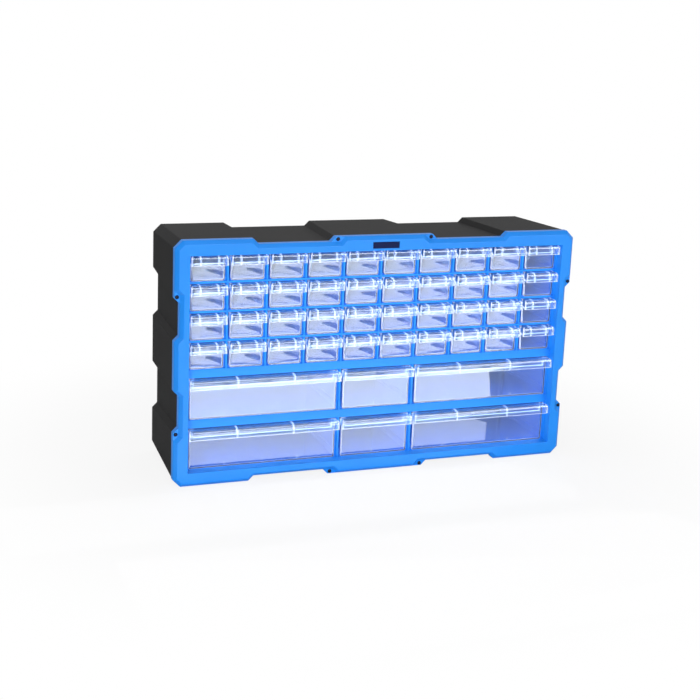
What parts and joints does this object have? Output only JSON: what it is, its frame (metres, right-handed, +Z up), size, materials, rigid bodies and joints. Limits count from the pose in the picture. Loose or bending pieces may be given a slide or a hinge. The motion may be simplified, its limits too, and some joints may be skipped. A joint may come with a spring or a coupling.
{
  "type": "parts bin cabinet",
  "caption": "Bench or wall cabinet for small parts: a bevelled front frame on a rear case, with a slotted rack and clear slide-out bins that have pull hoods.",
  "frame": {"origin": "middle of the base, on the surface the cabinet stands on", "axes": "+X to the cabinet's right as seen from the front, +Y to its back, +Z up"},
  "size_m": [0.5, 0.137, 0.289],
  "materials": {
    "frame_blue": "satin bright blue moulded plastic",
    "rack_blue": "satin bright blue moulded plastic",
    "case_black": "matt black moulded plastic",
    "drawer_clear": "clear polystyrene, glossy",
    "screw_steel": "blackened steel",
    "trim_dark": "dark navy satin plastic, plain"
  },
  "bodies": {
    "cabinet": {"front_frame": "frame_blue", "rear_case": "case_black", "trim_plate": "trim_dark", "frame_screws": "screw_steel", "end_walls": "rack_blue", "upper_partitions": "rack_blue", "lower_partitions": "rack_blue", "shelf_1": "rack_blue", "shelf_2": "rack_blue", "shelf_3": "rack_blue", "shelf_4_deep_rail": "rack_blue", "shelf_5_deep_rail": "rack_blue", "base_shelf": "rack_blue"},
    "small_drawer_1_01": {"small_drawer_1_01": "drawer_clear"},
    "small_drawer_1_02": {"small_drawer_1_02": "drawer_clear"},
    "small_drawer_1_03": {"small_drawer_1_03": "drawer_clear"},
    "small_drawer_1_04": {"small_drawer_1_04": "drawer_clear"},
    "small_drawer_1_05": {"small_drawer_1_05": "drawer_clear"},
    "small_drawer_1_06": {"small_drawer_1_06": "drawer_clear"},
    "small_drawer_1_07": {"small_drawer_1_07": "drawer_clear"},
    "small_drawer_1_08": {"small_drawer_1_08": "drawer_clear"},
    "small_drawer_1_09": {"small_drawer_1_09": "drawer_clear"},
    "small_drawer_1_10": {"small_drawer_1_10": "drawer_clear"},
    "small_drawer_2_01": {"small_drawer_2_01": "drawer_clear"},
    "small_drawer_2_02": {"small_drawer_2_02": "drawer_clear"},
    "small_drawer_2_03": {"small_drawer_2_03": "drawer_clear"},
    "small_drawer_2_04": {"small_drawer_2_04": "drawer_clear"},
    "small_drawer_2_05": {"small_drawer_2_05": "drawer_clear"},
    "small_drawer_2_06": {"small_drawer_2_06": "drawer_clear"},
    "small_drawer_2_07": {"small_drawer_2_07": "drawer_clear"},
    "small_drawer_2_08": {"small_drawer_2_08": "drawer_clear"},
    "small_drawer_2_09": {"small_drawer_2_09": "drawer_clear"},
    "small_drawer_2_10": {"small_drawer_2_10": "drawer_clear"},
    "small_drawer_3_01": {"small_drawer_3_01": "drawer_clear"},
    "small_drawer_3_02": {"small_drawer_3_02": "drawer_clear"},
    "small_drawer_3_03": {"small_drawer_3_03": "drawer_clear"},
    "small_drawer_3_04": {"small_drawer_3_04": "drawer_clear"},
    "small_drawer_3_05": {"small_drawer_3_05": "drawer_clear"},
    "small_drawer_3_06": {"small_drawer_3_06": "drawer_clear"},
    "small_drawer_3_07": {"small_drawer_3_07": "drawer_clear"},
    "small_drawer_3_08": {"small_drawer_3_08": "drawer_clear"},
    "small_drawer_3_09": {"small_drawer_3_09": "drawer_clear"},
    "small_drawer_3_10": {"small_drawer_3_10": "drawer_clear"},
    "small_drawer_4_01": {"small_drawer_4_01": "drawer_clear"},
    "small_drawer_4_02": {"small_drawer_4_02": "drawer_clear"},
    "small_drawer_4_03": {"small_drawer_4_03": "drawer_clear"},
    "small_drawer_4_04": {"small_drawer_4_04": "drawer_clear"},
    "small_drawer_4_05": {"small_drawer_4_05": "drawer_clear"},
    "small_drawer_4_06": {"small_drawer_4_06": "drawer_clear"},
    "small_drawer_4_07": {"small_drawer_4_07": "drawer_clear"},
    "small_drawer_4_08": {"small_drawer_4_08": "drawer_clear"},
    "small_drawer_4_09": {"small_drawer_4_09": "drawer_clear"},
    "small_drawer_4_10": {"small_drawer_4_10": "drawer_clear"},
    "large_drawer_1_left": {"large_drawer_1_left": "drawer_clear"},
    "large_drawer_1_middle": {"large_drawer_1_middle": "drawer_clear"},
    "large_drawer_1_right": {"large_drawer_1_right": "drawer_clear"},
    "large_drawer_2_left": {"large_drawer_2_left": "drawer_clear"},
    "large_drawer_2_middle": {"large_drawer_2_middle": "drawer_clear"},
    "large_drawer_2_right": {"large_drawer_2_right": "drawer_clear"}
  },
  "joints": [
    {"name": "small_drawer_1_01_slide", "type": "slide", "parent": "cabinet", "child": "small_drawer_1_01", "axis": [0, -1, 0], "range_m": [0, 0.1]},
    {"name": "small_drawer_1_02_slide", "type": "slide", "parent": "cabinet", "child": "small_drawer_1_02", "axis": [0, -1, 0], "range_m": [0, 0.1]},
    {"name": "small_drawer_1_03_slide", "type": "slide", "parent": "cabinet", "child": "small_drawer_1_03", "axis": [0, -1, 0], "range_m": [0, 0.1]},
    {"name": "small_drawer_1_04_slide", "type": "slide", "parent": "cabinet", "child": "small_drawer_1_04", "axis": [0, -1, 0], "range_m": [0, 0.1]},
    {"name": "small_drawer_1_05_slide", "type": "slide", "parent": "cabinet", "child": "small_drawer_1_05", "axis": [0, -1, 0], "range_m": [0, 0.1]},
    {"name": "small_drawer_1_06_slide", "type": "slide", "parent": "cabinet", "child": "small_drawer_1_06", "axis": [0, -1, 0], "range_m": [0, 0.1]},
    {"name": "small_drawer_1_07_slide", "type": "slide", "parent": "cabinet", "child": "small_drawer_1_07", "axis": [0, -1, 0], "range_m": [0, 0.1]},
    {"name": "small_drawer_1_08_slide", "type": "slide", "parent": "cabinet", "child": "small_drawer_1_08", "axis": [0, -1, 0], "range_m": [0, 0.1]},
    {"name": "small_drawer_1_09_slide", "type": "slide", "parent": "cabinet", "child": "small_drawer_1_09", "axis": [0, -1, 0], "range_m": [0, 0.1]},
    {"name": "small_drawer_1_10_slide", "type": "slide", "parent": "cabinet", "child": "small_drawer_1_10", "axis": [0, -1, 0], "range_m": [0, 0.1]},
    {"name": "small_drawer_2_01_slide", "type": "slide", "parent": "cabinet", "child": "small_drawer_2_01", "axis": [0, -1, 0], "range_m": [0, 0.1]},
    {"name": "small_drawer_2_02_slide", "type": "slide", "parent": "cabinet", "child": "small_drawer_2_02", "axis": [0, -1, 0], "range_m": [0, 0.1]},
    {"name": "small_drawer_2_03_slide", "type": "slide", "parent": "cabinet", "child": "small_drawer_2_03", "axis": [0, -1, 0], "range_m": [0, 0.1]},
    {"name": "small_drawer_2_04_slide", "type": "slide", "parent": "cabinet", "child": "small_drawer_2_04", "axis": [0, -1, 0], "range_m": [0, 0.1]},
    {"name": "small_drawer_2_05_slide", "type": "slide", "parent": "cabinet", "child": "small_drawer_2_05", "axis": [0, -1, 0], "range_m": [0, 0.1]},
    {"name": "small_drawer_2_06_slide", "type": "slide", "parent": "cabinet", "child": "small_drawer_2_06", "axis": [0, -1, 0], "range_m": [0, 0.1]},
    {"name": "small_drawer_2_07_slide", "type": "slide", "parent": "cabinet", "child": "small_drawer_2_07", "axis": [0, -1, 0], "range_m": [0, 0.1]},
    {"name": "small_drawer_2_08_slide", "type": "slide", "parent": "cabinet", "child": "small_drawer_2_08", "axis": [0, -1, 0], "range_m": [0, 0.1]},
    {"name": "small_drawer_2_09_slide", "type": "slide", "parent": "cabinet", "child": "small_drawer_2_09", "axis": [0, -1, 0], "range_m": [0, 0.1]},
    {"name": "small_drawer_2_10_slide", "type": "slide", "parent": "cabinet", "child": "small_drawer_2_10", "axis": [0, -1, 0], "range_m": [0, 0.1]},
    {"name": "small_drawer_3_01_slide", "type": "slide", "parent": "cabinet", "child": "small_drawer_3_01", "axis": [0, -1, 0], "range_m": [0, 0.1]},
    {"name": "small_drawer_3_02_slide", "type": "slide", "parent": "cabinet", "child": "small_drawer_3_02", "axis": [0, -1, 0], "range_m": [0, 0.1]},
    {"name": "small_drawer_3_03_slide", "type": "slide", "parent": "cabinet", "child": "small_drawer_3_03", "axis": [0, -1, 0], "range_m": [0, 0.1]},
    {"name": "small_drawer_3_04_slide", "type": "slide", "parent": "cabinet", "child": "small_drawer_3_04", "axis": [0, -1, 0], "range_m": [0, 0.1]},
    {"name": "small_drawer_3_05_slide", "type": "slide", "parent": "cabinet", "child": "small_drawer_3_05", "axis": [0, -1, 0], "range_m": [0, 0.1]},
    {"name": "small_drawer_3_06_slide", "type": "slide", "parent": "cabinet", "child": "small_drawer_3_06", "axis": [0, -1, 0], "range_m": [0, 0.1]},
    {"name": "small_drawer_3_07_slide", "type": "slide", "parent": "cabinet", "child": "small_drawer_3_07", "axis": [0, -1, 0], "range_m": [0, 0.1]},
    {"name": "small_drawer_3_08_slide", "type": "slide", "parent": "cabinet", "child": "small_drawer_3_08", "axis": [0, -1, 0], "range_m": [0, 0.1]},
    {"name": "small_drawer_3_09_slide", "type": "slide", "parent": "cabinet", "child": "small_drawer_3_09", "axis": [0, -1, 0], "range_m": [0, 0.1]},
    {"name": "small_drawer_3_10_slide", "type": "slide", "parent": "cabinet", "child": "small_drawer_3_10", "axis": [0, -1, 0], "range_m": [0, 0.1]},
    {"name": "small_drawer_4_01_slide", "type": "slide", "parent": "cabinet", "child": "small_drawer_4_01", "axis": [0, -1, 0], "range_m": [0, 0.1]},
    {"name": "small_drawer_4_02_slide", "type": "slide", "parent": "cabinet", "child": "small_drawer_4_02", "axis": [0, -1, 0], "range_m": [0, 0.1]},
    {"name": "small_drawer_4_03_slide", "type": "slide", "parent": "cabinet", "child": "small_drawer_4_03", "axis": [0, -1, 0], "range_m": [0, 0.1]},
    {"name": "small_drawer_4_04_slide", "type": "slide", "parent": "cabinet", "child": "small_drawer_4_04", "axis": [0, -1, 0], "range_m": [0, 0.1]},
    {"name": "small_drawer_4_05_slide", "type": "slide", "parent": "cabinet", "child": "small_drawer_4_05", "axis": [0, -1, 0], "range_m": [0, 0.1]},
    {"name": "small_drawer_4_06_slide", "type": "slide", "parent": "cabinet", "child": "small_drawer_4_06", "axis": [0, -1, 0], "range_m": [0, 0.1]},
    {"name": "small_drawer_4_07_slide", "type": "slide", "parent": "cabinet", "child": "small_drawer_4_07", "axis": [0, -1, 0], "range_m": [0, 0.1]},
    {"name": "small_drawer_4_08_slide", "type": "slide", "parent": "cabinet", "child": "small_drawer_4_08", "axis": [0, -1, 0], "range_m": [0, 0.1]},
    {"name": "small_drawer_4_09_slide", "type": "slide", "parent": "cabinet", "child": "small_drawer_4_09", "axis": [0, -1, 0], "range_m": [0, 0.1]},
    {"name": "small_drawer_4_10_slide", "type": "slide", "parent": "cabinet", "child": "small_drawer_4_10", "axis": [0, -1, 0], "range_m": [0, 0.1]},
    {"name": "large_drawer_1_left_slide", "type": "slide", "parent": "cabinet", "child": "large_drawer_1_left", "axis": [0, -1, 0], "range_m": [0, 0.1]},
    {"name": "large_drawer_1_middle_slide", "type": "slide", "parent": "cabinet", "child": "large_drawer_1_middle", "axis": [0, -1, 0], "range_m": [0, 0.1]},
    {"name": "large_drawer_1_right_slide", "type": "slide", "parent": "cabinet", "child": "large_drawer_1_right", "axis": [0, -1, 0], "range_m": [0, 0.1]},
    {"name": "large_drawer_2_left_slide", "type": "slide", "parent": "cabinet", "child": "large_drawer_2_left", "axis": [0, -1, 0], "range_m": [0, 0.1]},
    {"name": "large_drawer_2_middle_slide", "type": "slide", "parent": "cabinet", "child": "large_drawer_2_middle", "axis": [0, -1, 0], "range_m": [0, 0.1]},
    {"name": "large_drawer_2_right_slide", "type": "slide", "parent": "cabinet", "child": "large_drawer_2_right", "axis": [0, -1, 0], "range_m": [0, 0.1]}
  ]
}
